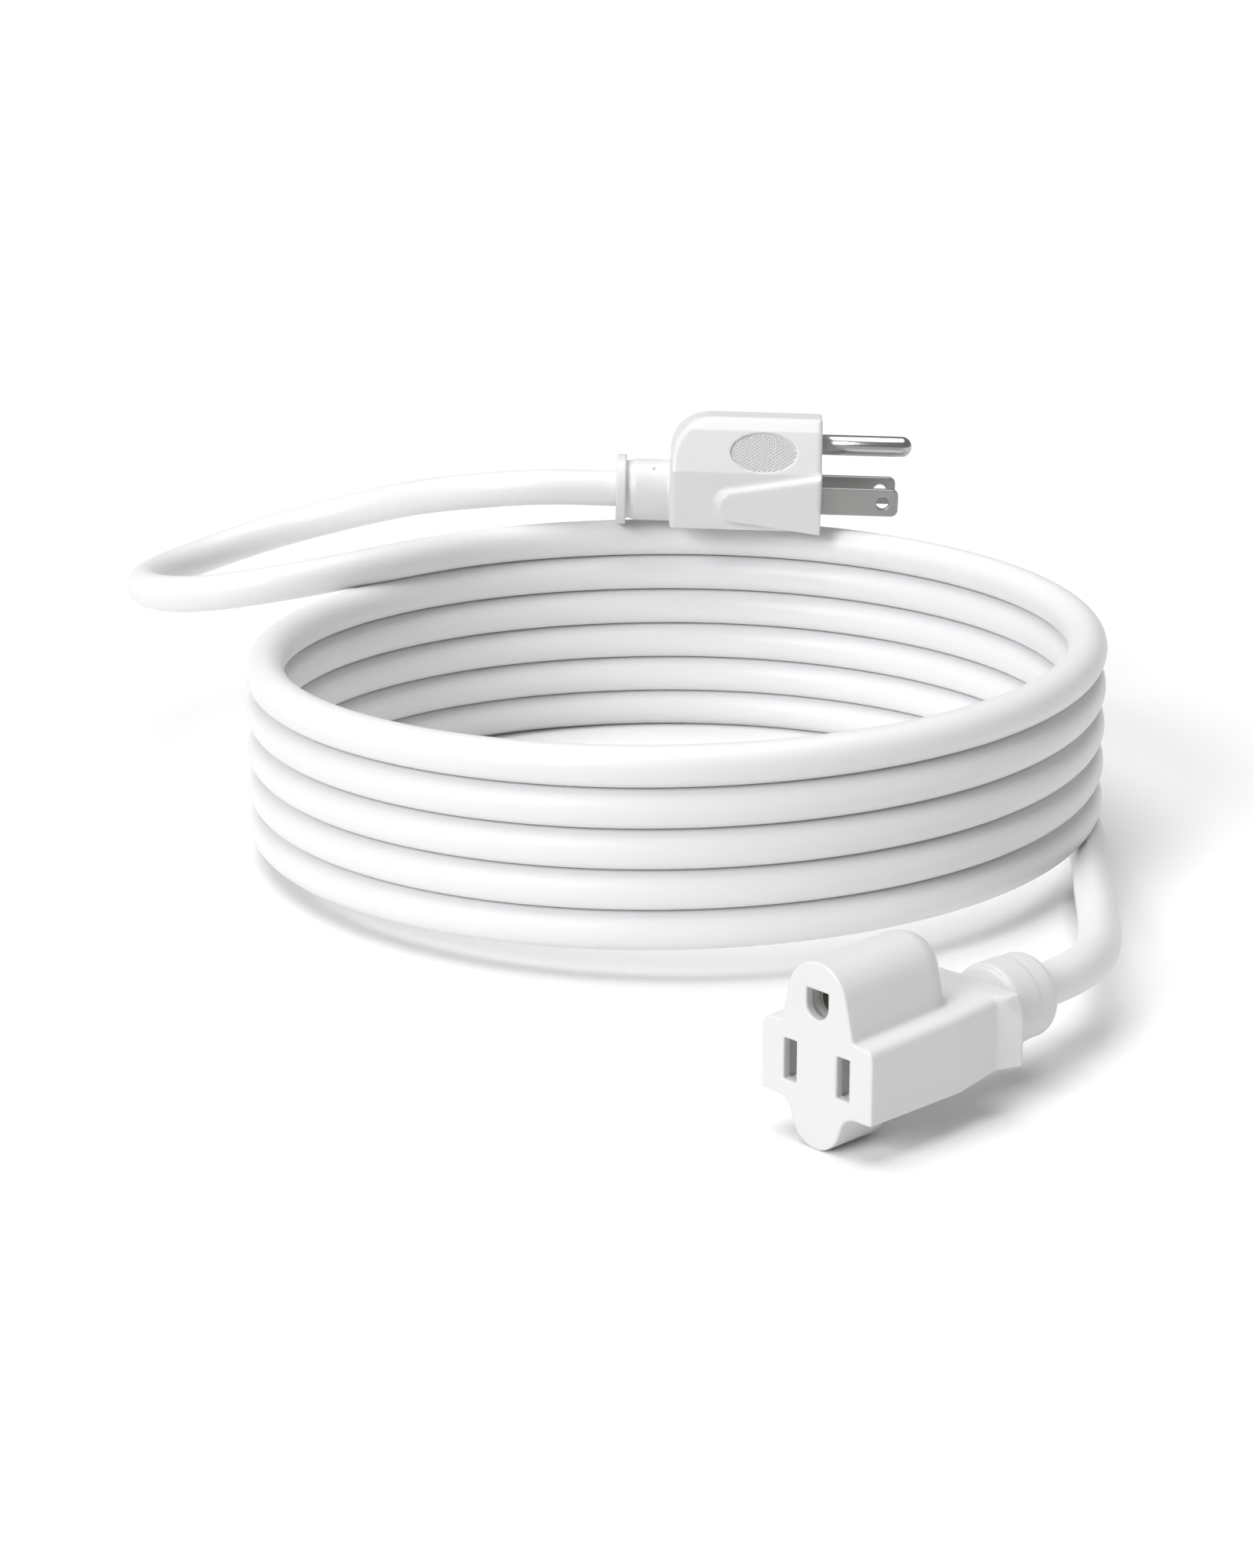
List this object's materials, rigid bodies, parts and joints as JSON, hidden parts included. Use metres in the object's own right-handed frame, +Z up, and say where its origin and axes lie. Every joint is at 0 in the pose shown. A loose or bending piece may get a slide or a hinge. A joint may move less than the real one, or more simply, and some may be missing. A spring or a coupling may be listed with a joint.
{
  "type": "extension cord",
  "caption": "Coiled round white extension cord with a moulded grounded plug at one end and a moulded grounded connector at the other.",
  "frame": {"origin": "centre of the coil on the surface that the cord lies on", "axes": "+Z up; -Y is the way the connector's face looks; +X completes a right-handed frame"},
  "size_m": [0.3178, 0.203, 0.0764],
  "materials": {
    "cord_jacket": "satin PVC jacket",
    "plug_shell": "satin moulded PVC",
    "connector_shell": "satin moulded PVC",
    "inner_plastic": "natural moulded plastic",
    "blade_plating": "satin nickel plating on brass",
    "pin_plating": "polished nickel plating on brass",
    "contact_tin": "tin plating on stamped brass",
    "copper": "bare copper strands",
    "insulation_black": "gloss PVC insulation",
    "insulation_white": "gloss PVC insulation",
    "insulation_green": "gloss PVC insulation"
  },
  "bodies": {
    "root": {"cord_coil": "cord_jacket", "cord_plug_lead": "cord_jacket", "cord_connector_lead": "cord_jacket", "plug_overmould": "plug_shell", "plug_bridge": "inner_plastic", "plug_line_blade": "blade_plating", "plug_neutral_blade": "blade_plating", "plug_ground_pin": "pin_plating", "plug_line_wire": "insulation_black", "plug_neutral_wire": "insulation_white", "plug_ground_wire": "insulation_green", "plug_line_core": "copper", "plug_neutral_core": "copper", "plug_ground_core": "copper", "connector_overmould": "connector_shell", "contact_carrier": "inner_plastic", "carrier_cap": "inner_plastic", "line_contact": "contact_tin", "neutral_contact": "contact_tin", "ground_contact": "contact_tin", "connector_line_wire": "insulation_black", "connector_neutral_wire": "insulation_white", "connector_ground_wire": "insulation_green", "connector_line_core": "copper", "connector_neutral_core": "copper", "connector_ground_core": "copper"}
  },
  "joints": []
}
